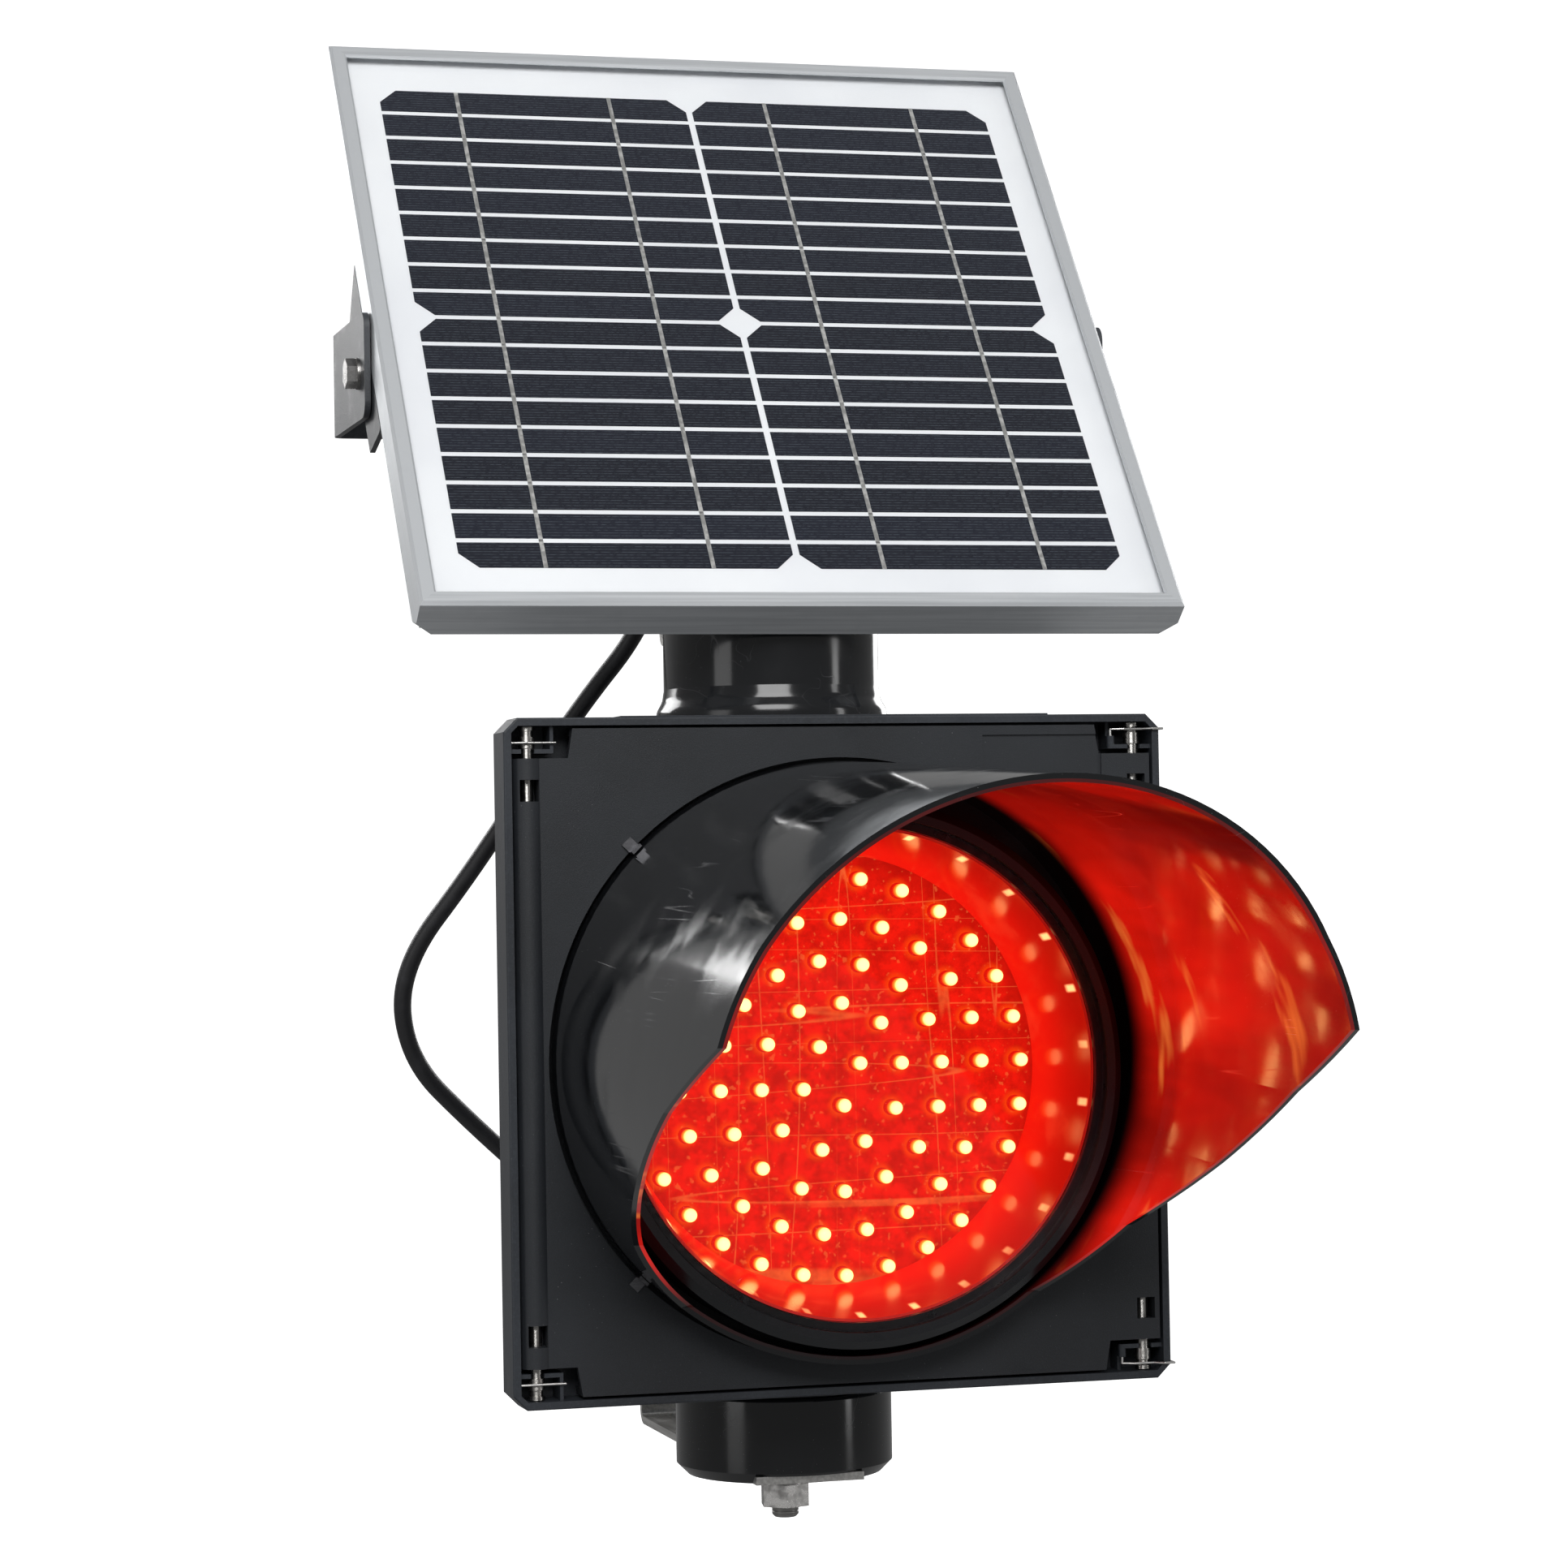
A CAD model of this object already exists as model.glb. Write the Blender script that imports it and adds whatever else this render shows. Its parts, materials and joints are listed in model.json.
"""Finishes, lead and stage for the solar powered signal head."""
import json
import math

import bpy
from mathutils import Matrix, Vector
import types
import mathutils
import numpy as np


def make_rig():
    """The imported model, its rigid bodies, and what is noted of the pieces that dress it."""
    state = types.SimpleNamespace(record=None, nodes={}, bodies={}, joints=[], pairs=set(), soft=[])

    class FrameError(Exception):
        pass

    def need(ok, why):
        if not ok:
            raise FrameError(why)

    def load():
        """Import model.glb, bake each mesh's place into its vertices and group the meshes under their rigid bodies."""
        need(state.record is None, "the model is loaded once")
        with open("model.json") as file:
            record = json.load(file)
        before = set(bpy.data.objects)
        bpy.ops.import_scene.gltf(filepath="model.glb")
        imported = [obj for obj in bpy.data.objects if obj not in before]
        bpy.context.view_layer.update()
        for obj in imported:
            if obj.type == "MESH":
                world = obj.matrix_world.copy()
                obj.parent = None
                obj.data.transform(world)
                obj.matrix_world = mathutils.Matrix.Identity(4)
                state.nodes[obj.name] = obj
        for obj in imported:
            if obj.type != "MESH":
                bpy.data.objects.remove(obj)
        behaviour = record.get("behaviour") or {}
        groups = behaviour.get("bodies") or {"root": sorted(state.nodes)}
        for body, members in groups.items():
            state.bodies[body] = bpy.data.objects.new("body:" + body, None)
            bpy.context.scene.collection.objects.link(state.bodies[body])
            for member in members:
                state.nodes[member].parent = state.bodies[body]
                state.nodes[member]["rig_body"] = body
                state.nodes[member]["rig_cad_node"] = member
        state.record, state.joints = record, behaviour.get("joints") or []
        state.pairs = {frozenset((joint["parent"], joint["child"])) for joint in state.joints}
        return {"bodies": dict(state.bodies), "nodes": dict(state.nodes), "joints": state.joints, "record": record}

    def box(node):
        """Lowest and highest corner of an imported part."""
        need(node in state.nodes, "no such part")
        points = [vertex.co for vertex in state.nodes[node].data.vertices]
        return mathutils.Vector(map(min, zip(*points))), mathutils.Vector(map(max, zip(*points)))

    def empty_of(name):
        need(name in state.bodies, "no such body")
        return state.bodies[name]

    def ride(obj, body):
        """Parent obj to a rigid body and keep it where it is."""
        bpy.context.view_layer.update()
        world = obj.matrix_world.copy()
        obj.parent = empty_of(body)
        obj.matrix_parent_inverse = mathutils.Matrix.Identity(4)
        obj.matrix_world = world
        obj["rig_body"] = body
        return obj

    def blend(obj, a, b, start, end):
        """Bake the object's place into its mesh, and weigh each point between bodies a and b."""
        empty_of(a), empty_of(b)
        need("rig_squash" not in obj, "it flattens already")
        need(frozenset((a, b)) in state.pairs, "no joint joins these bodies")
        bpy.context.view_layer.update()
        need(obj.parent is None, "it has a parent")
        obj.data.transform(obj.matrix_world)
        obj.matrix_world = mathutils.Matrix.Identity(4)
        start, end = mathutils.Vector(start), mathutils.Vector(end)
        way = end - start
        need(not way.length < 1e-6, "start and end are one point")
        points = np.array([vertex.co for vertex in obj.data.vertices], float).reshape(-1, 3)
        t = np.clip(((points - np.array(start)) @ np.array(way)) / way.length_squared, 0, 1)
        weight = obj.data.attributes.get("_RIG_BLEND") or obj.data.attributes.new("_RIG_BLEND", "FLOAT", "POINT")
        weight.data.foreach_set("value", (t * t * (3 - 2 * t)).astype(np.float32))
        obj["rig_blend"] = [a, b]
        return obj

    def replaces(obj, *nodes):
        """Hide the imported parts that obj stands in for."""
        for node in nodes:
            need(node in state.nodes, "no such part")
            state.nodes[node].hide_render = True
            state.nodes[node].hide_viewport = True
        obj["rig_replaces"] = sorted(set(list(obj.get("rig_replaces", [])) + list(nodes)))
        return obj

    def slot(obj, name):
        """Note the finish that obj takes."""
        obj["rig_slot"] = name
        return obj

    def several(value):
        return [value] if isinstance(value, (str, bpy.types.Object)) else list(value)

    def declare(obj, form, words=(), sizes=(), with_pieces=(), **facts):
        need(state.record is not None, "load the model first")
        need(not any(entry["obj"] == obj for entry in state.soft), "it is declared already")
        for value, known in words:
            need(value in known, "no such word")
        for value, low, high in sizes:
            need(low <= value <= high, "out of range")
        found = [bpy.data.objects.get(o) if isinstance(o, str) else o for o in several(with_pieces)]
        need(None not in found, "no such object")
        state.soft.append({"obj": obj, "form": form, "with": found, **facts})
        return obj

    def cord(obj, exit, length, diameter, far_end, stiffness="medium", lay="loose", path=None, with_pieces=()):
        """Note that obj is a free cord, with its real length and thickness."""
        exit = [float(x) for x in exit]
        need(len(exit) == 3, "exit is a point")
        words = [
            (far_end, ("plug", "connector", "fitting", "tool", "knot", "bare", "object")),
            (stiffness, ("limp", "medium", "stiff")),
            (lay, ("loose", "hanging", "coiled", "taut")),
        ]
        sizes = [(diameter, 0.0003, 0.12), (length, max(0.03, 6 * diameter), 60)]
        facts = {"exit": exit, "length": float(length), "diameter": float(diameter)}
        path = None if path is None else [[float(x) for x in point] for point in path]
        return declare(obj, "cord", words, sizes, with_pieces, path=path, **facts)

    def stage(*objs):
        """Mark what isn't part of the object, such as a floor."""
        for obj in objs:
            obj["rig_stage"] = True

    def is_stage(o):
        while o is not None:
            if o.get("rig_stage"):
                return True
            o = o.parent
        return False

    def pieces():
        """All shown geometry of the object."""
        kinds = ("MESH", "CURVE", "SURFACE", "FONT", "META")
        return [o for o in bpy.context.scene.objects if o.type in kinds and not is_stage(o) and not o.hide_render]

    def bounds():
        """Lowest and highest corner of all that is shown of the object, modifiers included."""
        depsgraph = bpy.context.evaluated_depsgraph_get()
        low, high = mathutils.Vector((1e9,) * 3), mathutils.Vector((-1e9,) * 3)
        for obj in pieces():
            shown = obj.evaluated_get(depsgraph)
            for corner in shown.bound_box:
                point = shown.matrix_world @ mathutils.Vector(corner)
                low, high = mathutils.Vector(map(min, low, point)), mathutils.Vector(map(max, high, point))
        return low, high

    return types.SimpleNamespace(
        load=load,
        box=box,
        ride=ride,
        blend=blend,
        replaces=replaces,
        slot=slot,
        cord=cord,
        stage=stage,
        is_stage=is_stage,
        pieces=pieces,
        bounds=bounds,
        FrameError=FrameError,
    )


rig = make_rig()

bl_info = {
    "name": "Solar signal head",
    "version": (1, 0, 0),
    "blender": (4, 5, 0),
    "location": "3D View > Sidebar > Signal",
    "description": "Finishes, lead and stage for a solar powered traffic signal head",
    "category": "Object",
}

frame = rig.load()
CAD_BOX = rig.bounds()
NODES = frame["nodes"]
MM = 0.001

# the middle of the housing's front rim, and what is placed from it
LEDS_LOW, LEDS_HIGH = (Vector(corner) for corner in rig.box("leds"))
CELLS_LOW, CELLS_HIGH = (Vector(corner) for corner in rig.box("solar_cells"))
FRONT_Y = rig.box("housing_body")[0][1]
HEAD_CENTRE = Vector((0, FRONT_Y, 0.130))
LED_CENTRE = (LEDS_LOW + LEDS_HIGH) / 2

# the visor's axis and inner wall, in millimetres
VISOR_DROOP = math.radians(2.7)
VISOR_AXIS_Z = -1.3
VISOR_BORE_R = 103.9

# the diodes' rings: the first ring's radius and count, and what each next ring adds
RING_R, RING_PITCH = 11.5, 15.0
RING_COUNT, RING_MORE = 4.0, 6.0
OUTER_RING = 4.0
GLINTS = 26.0

# the panel: its slope, the pitch of its strips and of their printed fingers, in millimetres
TILT = math.radians(52)
STRIP_PITCH = 14.4
FINGER_PITCH = 1.36
FAR_BELOW = 1000.0
BOX_BACK, PANEL_GLAND_LENGTH = 36.0, 12.0
BOX_DOWN, GLAND_LEFT = 75.0, 32.0
FIRST_RUN = 42.0
UP_SLOPE = Vector((0, math.cos(TILT), math.sin(TILT)))
OUT_OF_PANEL = Vector((0, -math.sin(TILT), math.cos(TILT)))
GRID_CENTRE = (CELLS_LOW + CELLS_HIGH) / 2


def head_point(x, y, z):
    """A point given in millimetres from the middle of the housing's front rim."""
    return HEAD_CENTRE + Vector((x, y, z)) * MM


PANEL_MIDDLE = head_point(0, 123.7, 279.4)
PAST_UPPER_RUN = head_point(-97, 176, 70)


# ------------------------------------------------------------------ shader tools
class Value:
    """A number in a material, with the usual arithmetic."""

    def __init__(self, finish, socket):
        self.finish, self.socket = finish, socket

    def _math(self, operation, *others):
        sockets = {0: self.socket}
        sockets.update({i + 1: other for i, other in enumerate(others)})
        return self.finish.value("ShaderNodeMath", {"operation": operation}, sockets)

    def __add__(self, other):
        return self._math("ADD", other)

    __radd__ = __add__

    def __mul__(self, other):
        return self._math("MULTIPLY", other)

    __rmul__ = __mul__

    def __sub__(self, other):
        return self._math("SUBTRACT", other)

    def __rsub__(self, other):
        return (self * -1) + other

    def __truediv__(self, other):
        return self._math("DIVIDE", other)

    def __pow__(self, other):
        return self._math("POWER", other)

    def __abs__(self):
        return self._math("ABSOLUTE")

    def __round__(self, digits=None):
        return self._math("ROUND")

    def frac(self):
        return self._math("FRACT")

    def sin(self):
        return self._math("SINE")

    def sqrt(self):
        return self._math("SQRT")

    def below(self, other):
        return self._math("LESS_THAN", other)

    def least(self, other):
        return self._math("MINIMUM", other)

    def most(self, other):
        return self._math("MAXIMUM", other)

    def angle(self, other):
        return self._math("ARCTAN2", other)

    def between(self, low, high):
        """0 at low, 1 at high, eased, and held outside."""
        return self.finish.value("ShaderNodeMapRange", {"interpolation_type": "SMOOTHSTEP"},
                                 {"Value": self, "From Min": low, "From Max": high})


class Finish:
    """One material, built node by node around a Principled shader."""

    def __init__(self, name):
        self.material = bpy.data.materials.new(name)
        self.material.use_nodes = True
        self.tree = self.material.node_tree
        self.tree.nodes.clear()
        output = self.tree.nodes.new("ShaderNodeOutputMaterial")
        self.shader = self.tree.nodes.new("ShaderNodeBsdfPrincipled")
        self.tree.links.new(self.shader.outputs[0], output.inputs["Surface"])
        coordinates = self.tree.nodes.new("ShaderNodeTexCoord")
        self.place = coordinates.outputs["Object"]

    def _join(self, node, key, value):
        if isinstance(value, Value):
            value = value.socket
        if isinstance(value, bpy.types.NodeSocket):
            self.tree.links.new(value, node.inputs[key])
        else:
            node.inputs[key].default_value = value

    def node(self, kind, settings, sockets):
        node = self.tree.nodes.new(kind)
        for key, setting in settings.items():
            setattr(node, key, setting)
        for key, value in sockets.items():
            self._join(node, key, value)
        return node

    def value(self, kind, settings, sockets, output=0):
        return Value(self, self.node(kind, settings, sockets).outputs[output])

    def along(self, direction, origin):
        """Distance in millimetres from origin along a direction."""
        offset = self.node("ShaderNodeVectorMath", {"operation": "SUBTRACT"},
                           {0: self.place, 1: tuple(origin)})
        scaled = tuple(Vector(direction) * 1000)
        return self.value("ShaderNodeVectorMath", {"operation": "DOT_PRODUCT"},
                          {0: offset.outputs[0], 1: scaled}, "Value")

    def stretched(self, scale):
        node = self.node("ShaderNodeVectorMath", {"operation": "MULTIPLY"},
                         {0: self.place, 1: tuple(scale)})
        return node.outputs[0]

    def noise(self, scale, detail=3.0, vector=None, roughness=0.5):
        """Soft cloud from 0 to 1 about a middle of one half."""
        return self.value("ShaderNodeTexNoise", {},
                          {"Vector": vector or self.place, "Scale": scale, "Detail": detail,
                           "Roughness": roughness})

    def specks(self, scale, size):
        """1 in small round specks, 0 elsewhere."""
        cells = self.value("ShaderNodeTexVoronoi", {"feature": "F1"},
                           {"Vector": self.place, "Scale": scale}, "Distance")
        return 1 - cells.between(size * 0.6, size)

    def scratches(self, scale, direction):
        """Sparse hairlines along a direction."""
        stretch = [1.0, 1.0, 1.0]
        stretch[direction] = 0.03
        lines = self.noise(scale, 1.0, self.stretched(stretch), 0.4)
        return 1 - abs(lines - 0.5).between(0.0, 0.006)

    def mix(self, factor, first, second):
        """Blend two colours."""
        pair = [tuple(c) + (1,) if isinstance(c, (tuple, list)) and len(c) == 3 else c
                for c in (first, second)]
        node = self.node("ShaderNodeMix", {"data_type": "RGBA"},
                         {"Factor": factor, 6: pair[0], 7: pair[1]})
        return node.outputs[2]

    def bump(self, height, strength, distance):
        node = self.node("ShaderNodeBump", {},
                         {"Height": height, "Strength": strength, "Distance": distance})
        self._join(self.shader, "Normal", node.outputs[0])

    def glow(self, strength):
        self.shader.inputs["Emission Strength"].default_value = strength

    def set(self, **values):
        for key, value in values.items():
            self._join(self.shader, key.replace("_", " "), value)

    def dress(self, *names):
        for name in names:
            mesh = NODES[name].data if name in NODES else bpy.data.objects[name].data
            mesh.materials.clear()
            mesh.materials.append(self.material)


def colour(rgb, gain=1.0):
    return tuple(min(1.0, c * gain) for c in rgb)


def moulded_plastic(name, rgb, grain, depth, rough):
    """Spark-textured black moulding with handling marks and a little dust."""
    f = Finish(name)
    spark = f.noise(1 / grain, 2.0, roughness=0.6)
    blotch = f.noise(18.0, 4.0)
    rubbed = f.noise(55.0, 5.0).between(0.52, 0.72)
    dust = f.specks(420.0, 0.09) * f.noise(30.0, 2.0).between(0.45, 0.7)
    tone = f.mix(blotch.between(0.3, 0.7), colour(rgb, 0.8), colour(rgb, 1.3))
    tone = f.mix(spark.between(0.45, 0.75) * 0.4, tone, colour(rgb, 2.1))
    tone = f.mix(dust * 0.35, tone, (0.25, 0.25, 0.26))
    f.set(Base_Color=tone, Roughness=(rough - rubbed * 0.1 + spark * 0.12), IOR=1.45)
    f.bump(spark, 0.55, depth)
    return f


def gloss_plastic(name, rgb, rough):
    """Polished black moulding: slight ripple, hairlines and settled dust."""
    f = Finish(name)
    ripple = f.noise(26.0, 2.0)
    hairs = f.scratches(90.0, 1) * f.noise(20.0, 2.0).between(0.5, 0.7)
    smear = f.noise(38.0, 4.0).between(0.45, 0.75)
    dust = f.specks(520.0, 0.07) * f.noise(24.0, 2.0).between(0.45, 0.65)
    tone = f.mix(dust * 0.5, colour(rgb), (0.3, 0.3, 0.31))
    tone = f.mix(hairs * 0.25, tone, (0.16, 0.16, 0.17))
    f.set(Base_Color=tone, Roughness=(smear * 0.1 + dust * 0.4 + hairs * 0.2 + rough), IOR=1.5)
    f.bump(ripple, 0.12, 0.0006)
    return f


def rolled_steel(name, rgb, direction, rough):
    """Rolled or drawn metal with its grain along one axis, a few scuffs and water marks."""
    f = Finish(name)
    stretch = [1.0, 1.0, 1.0]
    stretch[direction] = 0.02
    grain = f.noise(900.0, 3.0, f.stretched(stretch))
    marks = f.noise(45.0, 5.0).between(0.45, 0.7)
    tone = f.mix(grain.between(0.3, 0.7), colour(rgb, 0.82), colour(rgb, 1.1))
    tone = f.mix(marks * 0.3, tone, colour(rgb, 0.62))
    f.set(Base_Color=tone, Metallic=1.0, Roughness=(grain * 0.16 + marks * 0.12 + rough))
    f.bump(grain, 0.25, 0.00005)
    return f


def turned_steel(name, rgb, pitch, origin, rough):
    """Round bar with fine rings, cut as a thread where a pitch is given."""
    f = Finish(name)
    rings = ((f.along((0, 0, 1), origin) * (2 * math.pi / pitch)).sin() + 1) / 2
    stain = f.noise(160.0, 4.0).between(0.4, 0.7)
    tone = f.mix(stain * 0.5, colour(rgb), colour(rgb, 0.55))
    tone = f.mix(rings * 0.3, colour(rgb, 0.5), tone)
    f.set(Base_Color=tone, Metallic=1.0, Roughness=(stain * 0.18 + rough))
    f.bump(rings, 0.8, 0.0004 if pitch > 1 else 0.00004)
    return f


def zinc(name, rgb):
    """Bright zinc on bolts and nuts, with pale bloom in patches."""
    f = Finish(name)
    bloom = f.noise(240.0, 5.0).between(0.42, 0.68)
    fine = f.noise(1500.0, 2.0)
    tone = f.mix(bloom, colour(rgb), colour(rgb, 0.7))
    f.set(Base_Color=tone, Metallic=1.0, Roughness=(bloom * 0.2 + fine * 0.08 + 0.22))
    f.bump(fine, 0.2, 0.00004)
    return f


def rubber(name, rgb, grain):
    """Matt rubber with a fine skin and scuffs."""
    f = Finish(name)
    fine = f.noise(grain, 3.0)
    scuff = f.noise(70.0, 4.0).between(0.5, 0.75)
    tone = f.mix(scuff * 0.5, colour(rgb), colour(rgb, 2.4))
    f.set(Base_Color=tone, Roughness=(scuff * 0.12 + fine * 0.1 + 0.42), IOR=1.5)
    f.bump(fine, 0.3, 0.00006)
    return f


def clear_sheet(name, head_on, rough, tint):
    """Thin clear sheet: it shows what is behind and only adds its own reflection."""
    f = Finish(name)
    facing = f.value("ShaderNodeLayerWeight", {}, {}, "Facing")
    edge = facing ** 4 * 0.6 + head_on
    film = f.noise(30.0, 3.0).between(0.5, 0.8)
    dust = f.specks(330.0, 0.08) * f.noise(22.0, 2.0).between(0.5, 0.7)
    f.set(Base_Color=f.mix(film * 0.1, colour(tint), (0.7, 0.72, 0.74)), Metallic=1.0,
          Roughness=(film * 0.05 + rough), Alpha=(edge + dust * 0.1).least(1.0))
    return f


# ------------------------------------------------------------------ settings
class SignalColours(bpy.types.PropertyGroup):
    """Colours of the signal head's main finishes."""

    housing: bpy.props.FloatVectorProperty(
        name="Housing", description="Colour of the housing and door", subtype="COLOR",
        default=(0.0125, 0.0145, 0.018))
    gloss: bpy.props.FloatVectorProperty(
        name="Gloss parts", description="Colour of the visor and necks", subtype="COLOR",
        default=(0.006, 0.0065, 0.0075))
    lit: bpy.props.FloatVectorProperty(
        name="Lamp", description="Colour of the lit lamp", subtype="COLOR",
        default=(1.0, 0.012, 0.004))
    cell: bpy.props.FloatVectorProperty(
        name="Cells", description="Colour of the silicon strips", subtype="COLOR",
        default=(0.0065, 0.0085, 0.0165))
    steel: bpy.props.FloatVectorProperty(
        name="Steel", description="Colour of the stainless straps", subtype="COLOR",
        default=(0.60, 0.59, 0.57))


class SignalSizes(bpy.types.PropertyGroup):
    """Sizes of the pieces that are made here."""

    lead_diameter: bpy.props.FloatProperty(
        name="Lead", description="Diameter of the panel's lead", unit="LENGTH", default=0.007)
    boot_length: bpy.props.FloatProperty(
        name="Boot", description="Length of the boots at the lead's ends", unit="LENGTH",
        default=0.022)
    boot_radius: bpy.props.FloatProperty(
        name="Boot radius", description="Radius of a boot where it meets its gland", unit="LENGTH",
        default=0.0052)
    lamp_power: bpy.props.FloatProperty(
        name="Lamp light", description="Light thrown into the visor, in watts", default=1.6)


def colours():
    return bpy.context.scene.signal_colours


def sizes():
    return bpy.context.scene.signal_sizes


# ------------------------------------------------------------------ finishes
class SIGNAL_OT_housing_finish(bpy.types.Operator):
    """Dress the housing, its door and the plastic boxes"""

    bl_idname = "signal.housing_finish"
    bl_label = "Housing and door"

    def execute(self, context):
        rgb = colours().housing
        for name, gain, grain, depth, rough, nodes in (
                ("door_texture", 0.85, 0.00045, 0.00012, 0.50, ("door_cover",)),
                ("housing_texture", 1.5, 0.0008, 0.00008, 0.44, ("housing_body",)),
                ("box_texture", 0.9, 0.0006, 0.0001, 0.45,
                 ("junction_box", "junction_box_lid", "control_box", "lamp_cup", "housing_gland",
                  "panel_gland", "gland_nut")),
                ("bezel_texture", 0.5, 0.0006, 0.00006, 0.3, ("lamp_bezel",))):
            moulded_plastic(name, colour(rgb, gain), grain, depth, rough).dress(*nodes)
        return {"FINISHED"}


class SIGNAL_OT_neck_finish(bpy.types.Operator):
    """Dress the glossy neck tubes"""

    bl_idname = "signal.neck_finish"
    bl_label = "Necks"

    def execute(self, context):
        gloss_plastic("neck_gloss", colour(colours().gloss, 1.2), 0.12).dress("top_neck", "bottom_neck")
        return {"FINISHED"}


class SIGNAL_OT_visor_finish(bpy.types.Operator):
    """Dress the visor: polished black outside, washed by the lamp inside"""

    bl_idname = "signal.visor_finish"
    bl_label = "Visor"

    def execute(self, context):
        f = gloss_plastic("visor_gloss", colours().gloss, 0.07)
        lit = colours().lit
        origin = head_point(0, 0, VISOR_AXIS_Z)
        ahead = f.along((0, -1, 0), origin)
        across = f.along((1, 0, 0), origin)
        height = f.along((0, 0, 1), origin) + ahead * math.tan(VISOR_DROOP)
        radius = (across ** 2 + height ** 2).sqrt()
        inside = radius.below(VISOR_BORE_R)
        past_edge = ahead.between(14.0, 44.0)
        near = 1 - ahead.between(30.0, 235.0)
        flank = abs(across / 103.0).between(0.25, 0.95)
        streak = f.noise(9.0, 4.0, f.stretched((1.0, 0.35, 1.6)), 0.62)
        blaze = f.noise(24.0, 3.0, f.stretched((1.0, 1.3, 0.55)), 0.55)
        hot = blaze.between(0.6, 0.72) * flank * near.between(0.02, 0.3) * past_edge
        wash = (streak.between(0.3, 0.7) * 0.7 + 0.3) * (near * 0.6 + 0.4) * past_edge * inside
        glow = f.mix(wash * (flank * 0.75 + 0.25), (0, 0, 0), colour(lit, 0.95))
        glow = f.mix(hot * inside * 0.8, glow, (1.0, 0.24, 0.04))
        f.set(Emission_Color=glow)
        f.glow(0.85)
        f.dress("visor")
        return {"FINISHED"}


class SIGNAL_OT_lamp_finish(bpy.types.Operator):
    """Dress the lit lamp: diodes, circuit board, reflector and lens"""

    bl_idname = "signal.lamp_finish"
    bl_label = "Lamp"

    def execute(self, context):
        self.diodes()
        self.board()
        self.reflector()
        clear_sheet("lens_clear", 0.012, 0.03, (1.0, 0.86, 0.85)).dress("lens")
        return {"FINISHED"}

    def diodes(self):
        f = Finish("diode_epoxy")
        depth = f.along((0, 1, 0), (0, LEDS_LOW.y, 0))
        tip = 1 - depth.between(0.1, 2.6)
        collar = 1 - depth.between(1.5, 6.0)
        body = f.mix(collar, (0.14, 0.0015, 0.0004), (0.6, 0.11, 0.01))
        body = f.mix(tip, body, (1.0, 0.50, 0.17))
        f.set(Base_Color=(0.3, 0.01, 0.005, 1), Roughness=f.noise(800.0) * 0.2 + 0.1,
              Emission_Color=body)
        f.glow(3.6)
        f.dress("leds")

    def board(self):
        """Solder mask washed red, with a halo round each diode of the five rings."""
        f = Finish("lit_board")
        lit = colours().lit
        across = f.along((1, 0, 0), LED_CENTRE)
        height = f.along((0, 0, 1), LED_CENTRE)
        radius = (across ** 2 + height ** 2).sqrt()
        ring = round((radius - RING_R) / RING_PITCH).most(0.0).least(OUTER_RING)
        ring_radius = ring * RING_PITCH + RING_R
        count = ring * RING_MORE + RING_COUNT
        turn = height.angle(across) / (2 * math.pi) + 1.0
        step = abs((turn * count + 0.25).frac() - 0.5)
        off = step * 2 * math.pi * ring_radius / count
        distance = ((radius - ring_radius) ** 2 + off ** 2).sqrt()
        halo = 1 - distance.between(2.2, 5.6)
        mottle = f.noise(130.0, 5.0, roughness=0.7)
        tracks = f.noise(420.0, 2.0).between(0.62, 0.7)
        glow = f.mix(mottle.between(0.3, 0.7), colour(lit, 0.55), colour(lit, 1.0))
        glow = f.mix(radius.between(66.0, 80.0) * 0.6, glow, colour(lit, 0.35))
        glow = f.mix(halo * 0.8, glow, (1.0, 0.07, 0.003))
        scratch = f.scratches(60.0, 0).most(f.scratches(75.0, 2))
        glow = f.mix((tracks * 0.35).most(scratch * mottle * 0.8), glow, (1.0, 0.22, 0.05))
        f.set(Base_Color=(0.2, 0.002, 0.001, 1), Roughness=mottle * 0.3 + 0.3, Emission_Color=glow,
              Specular_IOR_Level=0.12)
        f.glow(0.9)
        f.bump(mottle, 0.3, 0.0003)
        f.dress("led_board")

    def reflector(self):
        """Polished cone: brighter towards the board, with glints near its front edge."""
        f = Finish("lit_reflector")
        lit = colours().lit
        depth = f.along((0, 1, 0), (0, FRONT_Y - 0.02, 0))
        mottle = f.noise(40.0, 4.0)
        glow = f.mix(depth.between(0.0, 42.0), colour(lit, 0.28), colour(lit, 0.85))
        glow = f.mix(mottle.between(0.55, 0.7) * 0.25, glow, (1.0, 0.1, 0.03))
        across, height = f.along((1, 0, 0), LED_CENTRE), f.along((0, 0, 1), LED_CENTRE)
        turn = height.angle(across) / (2 * math.pi) + 1.0
        spot = 1 - abs((turn * GLINTS).frac() - 0.5).between(0.03, 0.09)
        band = depth.between(1.0, 3.0) * (1 - depth.between(6.0, 9.0))
        glow = f.mix(spot * band * f.noise(25.0, 2.0).between(0.3, 0.6), glow, (3.0, 1.2, 0.45))
        f.set(Base_Color=(0.4, 0.01, 0.006, 1), Roughness=mottle * 0.15 + 0.08, Emission_Color=glow)
        f.glow(0.7)
        f.dress("lamp_reflector")


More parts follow.
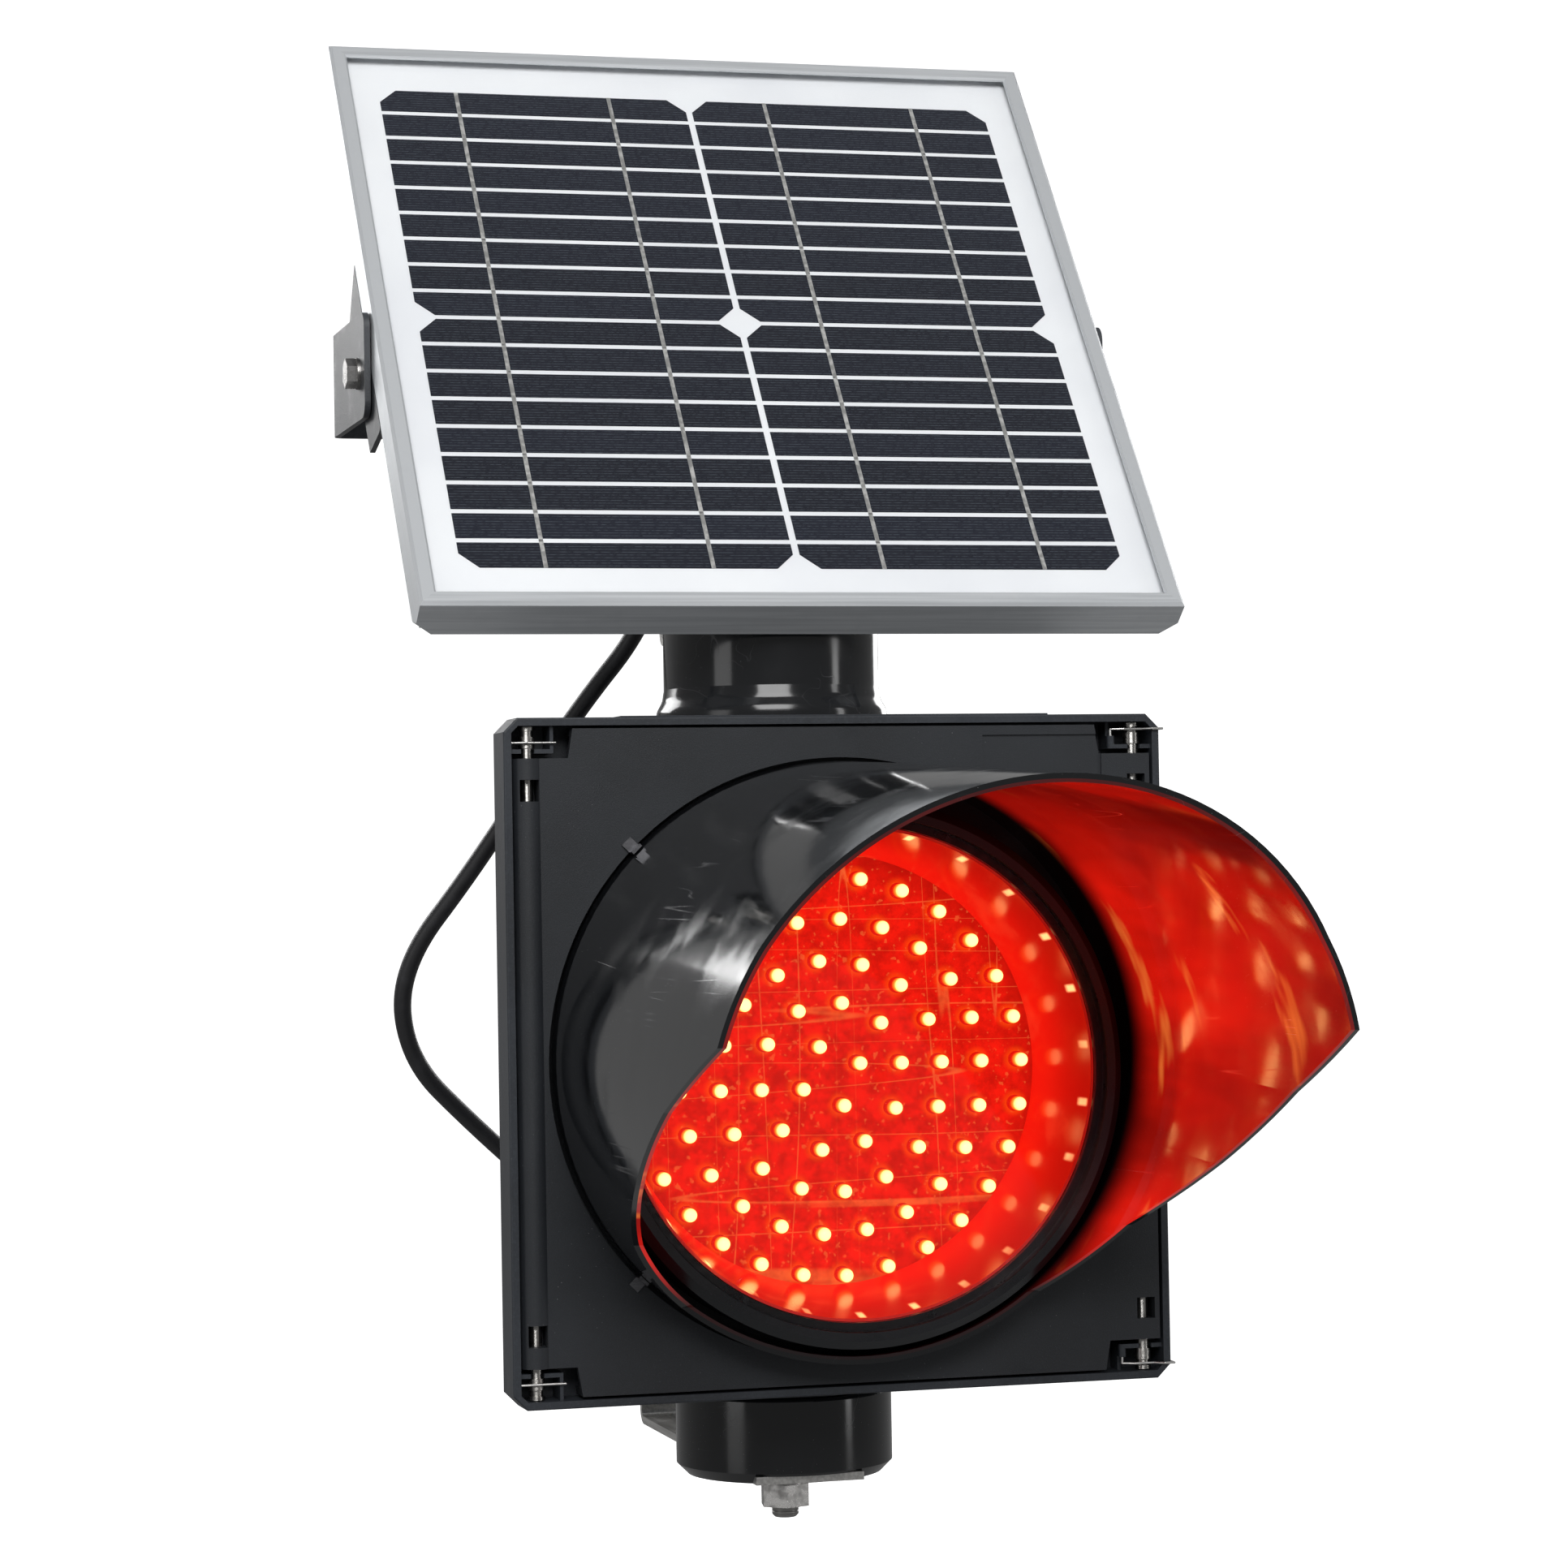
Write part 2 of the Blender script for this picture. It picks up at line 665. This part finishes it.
class SIGNAL_OT_metal_finish(bpy.types.Operator):
    """Dress the straps, rods, pins, bolts, clips and brackets"""

    bl_idname = "signal.metal_finish"
    bl_label = "Metal parts"

    def execute(self, context):
        steel = tuple(colours().steel)
        rolled_steel("arm_steel", steel, 1, 0.26).dress("bottom_arm")
        rolled_steel("riser_steel", steel, 2, 0.28).dress("panel_riser", "battery_strap")
        turned_steel("rod_thread", (0.52, 0.51, 0.49), 1.5, (0, 0, 0), 0.3).dress("tie_rod")
        turned_steel("pin_turned", (0.66, 0.64, 0.61), 0.35, (0, 0, 0), 0.16).dress("door_pins")
        rolled_steel("spring_wire", (0.8, 0.79, 0.77), 0, 0.18).dress(
            "hinge_clips", "latch_clip_top", "latch_clip_bottom")
        rolled_steel("dark_tabs", (0.16, 0.16, 0.17), 0, 0.2).dress("visor_clips")
        zinc("bright_zinc", (0.42, 0.41, 0.40)).dress(
            "tie_rod_nuts", "tie_rod_washers", "support_bolts", "support_nuts", "pivot_bolts",
            "pivot_washers", "pivot_nuts", "lamp_screws", "gusset_screws")
        coat = moulded_plastic("bracket_coat", (0.032, 0.035, 0.04), 0.0007, 0.00016, 0.42)
        coat.dress("panel_support_bracket", "panel_gussets")
        return {"FINISHED"}


class SIGNAL_OT_panel_finish(bpy.types.Operator):
    """Dress the solar panel's frame, cells, ribbons, front sheet and back"""

    bl_idname = "signal.panel_finish"
    bl_label = "Solar panel"

    def execute(self, context):
        self.rails()
        self.cells()
        self.ribbons()
        self.backsheet()
        clear_sheet("panel_front", 0.02, 0.08, (0.95, 0.97, 1.0)).dress("panel_glass")
        return {"FINISHED"}

    def rails(self):
        """Clear anodised aluminium with its extrusion lines along each rail."""
        for names in (("frame_top", "frame_bottom", "corner_keys"), ("frame_left", "frame_right")):
            f = Finish("anodised_" + names[0])
            if names[0] == "frame_top":
                lines = f.noise(700.0, 2.0, f.stretched((0.02, 1.0, 1.0)))
            else:
                slanted = f.along(OUT_OF_PANEL, GRID_CENTRE)
                lines = f.value("ShaderNodeTexNoise", {"noise_dimensions": "1D"},
                                {"W": slanted, "Scale": 2.5, "Detail": 3.0})
            marks = f.noise(60.0, 5.0).between(0.5, 0.75)
            tone = f.mix(lines.between(0.3, 0.7), (0.52, 0.54, 0.56), (0.62, 0.64, 0.66))
            tone = f.mix(marks * 0.25, tone, (0.42, 0.44, 0.46))
            f.set(Base_Color=tone, Metallic=0.4, Roughness=(lines * 0.12 + marks * 0.1 + 0.36))
            f.bump(lines, 0.2, 0.00005)
            f.dress(*names)

    def cells(self):
        """Dark silicon with fine printed fingers across each strip."""
        f = Finish("silicon_strip")
        rgb = colours().cell
        up = f.along(UP_SLOPE, GRID_CENTRE) + FAR_BELOW
        finger = abs((up / FINGER_PITCH).frac() - 0.5)
        line = 1 - finger.between(0.04, 0.13)
        broken = f.noise(600.0, 3.0, roughness=0.7).between(0.35, 0.6)
        strip = round(up / STRIP_PITCH)
        shade = f.value("ShaderNodeTexWhiteNoise", {"noise_dimensions": "1D"}, {"W": strip})
        tone = f.mix(shade, colour(rgb, 0.85), colour(rgb, 1.2))
        tone = f.mix(line * broken * 0.75, tone, (0.10, 0.115, 0.14))
        tone = f.mix(f.specks(900.0, 0.1) * 0.4, tone, (0.12, 0.13, 0.15))
        f.set(Base_Color=tone, Roughness=(line * 0.2 + 0.32), Specular_IOR_Level=0.2)
        f.bump(line, 0.2, 0.00004)
        f.dress("solar_cells")

    def ribbons(self):
        """Tinned ribbon, dark where it dips under each strip's edge."""
        f = Finish("tinned_ribbon")
        up = f.along(UP_SLOPE, GRID_CENTRE) + FAR_BELOW
        joint = 1 - abs((up / STRIP_PITCH + 0.06).frac() - 0.5).between(0.02, 0.06)
        solder = f.noise(380.0, 4.0).between(0.4, 0.65)
        tone = f.mix(solder, (0.42, 0.42, 0.41), (0.66, 0.66, 0.64))
        tone = f.mix(joint * solder * 0.8, tone, (0.08, 0.08, 0.08))
        f.set(Base_Color=tone, Metallic=0.6, Roughness=(solder * 0.2 + 0.3))
        f.bump(solder, 0.4, 0.0001)
        f.dress("cell_ribbons")

    def backsheet(self):
        f = Finish("white_backsheet")
        weave = f.noise(500.0, 2.0)
        cloud = f.noise(12.0, 3.0)
        f.set(Base_Color=f.mix(cloud.between(0.3, 0.7), (0.80, 0.82, 0.85), (0.88, 0.90, 0.92)),
              Roughness=weave * 0.1 + 0.45)
        f.bump(weave, 0.15, 0.00005)
        f.dress("backsheet")


class SIGNAL_OT_inner_finish(bpy.types.Operator):
    """Dress the battery and the door's gasket"""

    bl_idname = "signal.inner_finish"
    bl_label = "Inside parts"

    def execute(self, context):
        rubber("foam_gasket", (0.018, 0.018, 0.02), 900.0).dress("door_gasket")
        f = Finish("shrink_wrap")
        crease = f.noise(60.0, 3.0, f.stretched((1.0, 1.0, 0.25)))
        f.set(Base_Color=f.mix(crease, (0.02, 0.07, 0.22), (0.04, 0.12, 0.34)),
              Roughness=crease * 0.15 + 0.18)
        f.bump(crease, 0.4, 0.0008)
        f.dress("battery_pack")
        return {"FINISHED"}


# ------------------------------------------------------------------ lead
def lead_corners():
    """The lead's corners: out of the panel's box, round behind the head and into the housing."""
    start = PANEL_MIDDLE - OUT_OF_PANEL * (BOX_BACK + PANEL_GLAND_LENGTH) * MM
    start = start - UP_SLOPE * BOX_DOWN * MM - Vector((GLAND_LEFT * MM, 0, 0))
    bend = start - OUT_OF_PANEL * FIRST_RUN * MM
    route = [(-62, 158, 127), (-97, 176, 70), (-126, 190, 30), (-121, 203, -6), (-92, 217, -34),
             (-62, 222, -61), (-44, 196, -87), (-44, 158, -87)]
    return [start, bend] + [head_point(*p) for p in route]


def along_line(path, distance):
    """The point a given way along a line of points."""
    for a, b in zip(path, path[1:]):
        run = (b - a).length
        if distance <= run:
            return a.lerp(b, distance / run)
        distance -= run
    return path[-1]


class SIGNAL_OT_lead(bpy.types.Operator):
    """Make the round lead from the panel's box down to the housing, with a boot at each end"""

    bl_idname = "signal.lead"
    bl_label = "Panel lead"

    def execute(self, context):
        lead = self.line(lead_corners())
        path = self.line_points(lead)
        lead = self.tube(lead, sizes().lead_diameter / 2)
        rubber("lead_jacket", (0.014, 0.014, 0.016), 1400.0).dress("panel_lead")
        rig.replaces(lead, "panel_cable")
        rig.slot(lead, "cable_jacket")
        length = sum((b - a).length for a, b in zip(path, path[1:]))
        top, low = self.boots(path)
        past_boot = along_line(path, sizes().boot_length * 1.2)
        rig.blend(lead, "panel", "head", past_boot, PAST_UPPER_RUN)
        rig.cord(lead, exit=path[0], length=length, diameter=sizes().lead_diameter, far_end="object",
                stiffness="medium", lay="hanging", path=path, with_pieces=[top, low])
        return {"FINISHED"}

    def line(self, corners):
        """One smooth open spline pulled towards the lead's corners."""
        curve = bpy.data.curves.new("panel_lead", "CURVE")
        curve.dimensions = "3D"
        curve.resolution_u = 14
        line = curve.splines.new("NURBS")
        line.points.add(len(corners) - 1)
        for point, place in zip(line.points, corners):
            point.co = (*place, 1)
        line.order_u = 3
        line.use_endpoint_u = True
        lead = bpy.data.objects.new("panel_lead", curve)
        bpy.context.scene.collection.objects.link(lead)
        return lead

    def line_points(self, lead):
        bpy.context.view_layer.update()
        thread = bpy.data.meshes.new_from_object(lead)
        points = [vertex.co.copy() for vertex in thread.vertices]
        bpy.data.meshes.remove(thread)
        return points

    def tube(self, lead, radius):
        lead.data.bevel_depth = radius
        lead.data.bevel_resolution = 5
        lead.data.use_fill_caps = True
        only(lead)
        bpy.ops.object.convert(target="MESH")
        lead = bpy.context.view_layer.objects.active
        lead.name = "panel_lead"
        bpy.ops.object.shade_smooth_by_angle(angle=math.radians(40))
        return lead

    def boots(self, path):
        pieces = []
        for name, body, line in (("panel_boot", "panel", path), ("housing_boot", "head", path[::-1])):
            boot = ribbed_boot(name, line)
            rubber(name + "_rubber", (0.02, 0.02, 0.022), 1000.0).dress(name)
            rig.ride(boot, body)
            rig.slot(boot, "gland_nylon")
            pieces.append(boot)
        return pieces


def only(obj):
    """Select one object and nothing else."""
    if bpy.context.mode != "OBJECT":
        bpy.ops.object.mode_set(mode="OBJECT")
    bpy.ops.object.select_all(action="DESELECT")
    obj.select_set(True)
    bpy.context.view_layer.objects.active = obj


def settle(obj):
    """Put the object's place into its mesh."""
    only(obj)
    bpy.ops.object.transform_apply(location=True, rotation=True, scale=True)
    return obj


def ribbed_boot(name, line):
    """A tapered sleeve with rounded ribs, made from a tube by extruding ring after ring."""
    length, base = sizes().boot_length, sizes().boot_radius
    bore = sizes().lead_diameter / 2 + 0.00008
    start = line[0]
    turn = (line[1] - start).to_track_quat("Z", "Y").to_euler()
    bpy.ops.object.select_all(action="DESELECT")
    bpy.ops.mesh.primitive_circle_add(vertices=40, radius=bore, location=start, rotation=turn,
                                      fill_type="NOTHING")
    boot = bpy.context.object
    boot.name = name
    boot.data.name = name
    bpy.ops.object.mode_set(mode="EDIT")
    ribs = 5
    rings = [(0.0, base)]
    for i in range(ribs):
        wide = base + (bore + 0.0006 - base) * i / ribs
        at = length * (i + 0.35) / ribs
        rings += [(at, wide), (at + 0.0009, wide - 0.0006), (at + 0.0021, wide - 0.0006),
                  (at + 0.003, wide - 0.0001)]
    rings.append((length, bore + 0.0004))
    rings.append((length, bore))
    radius, middle = bore, start
    for z, r in rings:
        centre = along_line(line, z)
        bpy.ops.mesh.extrude_edges_move(TRANSFORM_OT_translate={"value": centre - middle})
        bpy.ops.transform.resize(value=(r / radius,) * 3, center_override=centre)
        radius, middle = r, centre
    bpy.ops.mesh.select_all(action="SELECT")
    bpy.ops.mesh.remove_doubles(threshold=0.00001)
    bpy.ops.mesh.normals_make_consistent(inside=False)
    bpy.ops.object.mode_set(mode="OBJECT")
    settle(boot)
    bpy.ops.object.shade_smooth_by_angle(angle=math.radians(35))
    return boot


# ------------------------------------------------------------------ stage
FLOOR_DROP = 0.32
ROOM_R = 12
LENS, SENSOR = 92.5, 36.0
# how the camera is turned from looking level along +Y, in degrees
HEADING, PITCH, ROLL = -15.4, 1.3, 1.0


class SIGNAL_OT_stage(bpy.types.Operator):
    """Set the pale floor, the soft lights and the camera"""

    bl_idname = "signal.stage"
    bl_label = "Stage"

    def execute(self, context):
        self.floor()
        self.world(context)
        self.lights()
        self.camera()
        return {"FINISHED"}

    def floor(self):
        """A wide pale floor and a round wall far out, both left out of reflections."""
        low = Vector(CAD_BOX[0]).z - FLOOR_DROP
        bpy.ops.object.select_all(action="DESELECT")
        bpy.ops.mesh.primitive_plane_add(size=ROOM_R * 2 + 2, location=(0, 0, low))
        floor = bpy.context.object
        floor.name = "stage_floor"
        settle(floor)
        f = Finish("pale_floor")
        cloud = f.noise(1.5, 2.0)
        white = f.mix(cloud, (0.96, 0.96, 0.96), (1.0, 1.0, 1.0))
        f.set(Base_Color=white, Roughness=cloud * 0.1 + 0.6, Emission_Color=white)
        f.glow(0.96)
        f.dress("stage_floor")
        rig.stage(floor)
        bpy.ops.object.select_all(action="DESELECT")
        bpy.ops.mesh.primitive_cylinder_add(vertices=64, radius=ROOM_R, depth=ROOM_R * 2,
                                            end_fill_type="NOTHING", location=(0, 0, low + ROOM_R))
        wall = bpy.context.object
        wall.name = "stage_wall"
        settle(wall)
        wall.data.materials.append(f.material)
        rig.stage(wall)
        for sheet in (floor, wall):
            sheet.visible_glossy = False
            sheet.visible_diffuse = False
        wall.visible_shadow = False

    def world(self, context):
        world = bpy.data.worlds.new("studio")
        bpy.context.scene.world = world
        world.use_nodes = True
        world.node_tree.nodes["Background"].inputs["Color"].default_value = (1, 1, 1, 1)
        world.node_tree.nodes["Background"].inputs["Strength"].default_value = 0.24
        context.scene.view_settings.view_transform = "Standard"

    def lights(self):
        aim = HEAD_CENTRE + Vector((0, 0, 0.06))
        for name, place, size, power in (
                ("key", (-0.5, -2.2, 1.6), (1.6, 1.6), 68.0),
                ("left_box", (-2.0, -0.75, 0.15), (0.75, 1.2), 4.5),
                ("right_strip", (1.7, -1.0, 0.2), (0.25, 1.2), 4.0),
                ("rear_left", (-1.0, 1.9, 1.0), (1.0, 1.0), 22.0),
                ("rear_right", (1.4, 1.7, 0.5), (0.8, 1.0), 13.0)):
            self.area(name, Vector(place) + HEAD_CENTRE, aim, size, power, (1, 1, 1))
        mouth = head_point(0, -42, -6)
        lamp = self.area("lamp_throw", mouth, mouth + Vector((0, -1, 0)), (0.16, 0.16),
                         sizes().lamp_power, (1.0, 0.004, 0.001))
        lamp.data.shape = "DISK"
        lamp.visible_camera = False
        lamp.visible_glossy = False

    def area(self, name, place, aim, size, power, rgb):
        light = bpy.data.lights.new(name, "AREA")
        light.shape = "RECTANGLE"
        light.size, light.size_y = size
        light.energy = power
        light.color = rgb
        lamp = bpy.data.objects.new(name, light)
        bpy.context.scene.collection.objects.link(lamp)
        lamp.location = place
        lamp.rotation_euler = (aim - place).to_track_quat("-Z", "Y").to_euler()
        return lamp

    def camera(self):
        view = bpy.data.cameras.new("view")
        view.sensor_width = SENSOR
        view.lens = LENS
        camera = bpy.data.objects.new("view", view)
        bpy.context.scene.collection.objects.link(camera)
        turn = Matrix.Identity(4)
        for angle, axis in ((HEADING, "Z"), (PITCH, "X"), (ROLL, "Y"), (90, "X")):
            turn = turn @ Matrix.Rotation(math.radians(angle), 4, axis)
        camera.matrix_world = Matrix.Translation(head_point(-399, -1374.6, 63.8)) @ turn
        bpy.context.scene.camera = camera


OPERATORS = (SIGNAL_OT_lead, SIGNAL_OT_housing_finish, SIGNAL_OT_neck_finish, SIGNAL_OT_visor_finish,
             SIGNAL_OT_lamp_finish, SIGNAL_OT_metal_finish, SIGNAL_OT_panel_finish,
             SIGNAL_OT_inner_finish, SIGNAL_OT_stage)


class SIGNAL_PT_panel(bpy.types.Panel):
    """Lists the steps that dress the signal head"""

    bl_idname = "SIGNAL_PT_panel"
    bl_label = "Signal head"
    bl_space_type = "VIEW_3D"
    bl_region_type = "UI"
    bl_category = "Signal"

    def draw(self, context):
        column = self.layout.column()
        for key in SignalColours.__annotations__:
            column.prop(context.scene.signal_colours, key)
        for key in SignalSizes.__annotations__:
            column.prop(context.scene.signal_sizes, key)
        for operator in OPERATORS:
            column.operator(operator.bl_idname)


CLASSES = (SignalColours, SignalSizes) + OPERATORS + (SIGNAL_PT_panel,)


def register():
    for cls in CLASSES:
        bpy.utils.register_class(cls)
    bpy.types.Scene.signal_colours = bpy.props.PointerProperty(type=SignalColours)
    bpy.types.Scene.signal_sizes = bpy.props.PointerProperty(type=SignalSizes)


def unregister():
    del bpy.types.Scene.signal_sizes
    del bpy.types.Scene.signal_colours
    for cls in reversed(CLASSES):
        bpy.utils.unregister_class(cls)


def main():
    register()
    for operator in OPERATORS:
        group, name = operator.bl_idname.split(".")
        getattr(getattr(bpy.ops, group), name)()
    with open("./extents.json", "w") as out:
        json.dump({"cad": [list(c) for c in CAD_BOX], "visual": [list(c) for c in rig.bounds()]}, out)


if __name__ == "__main__":
    main()
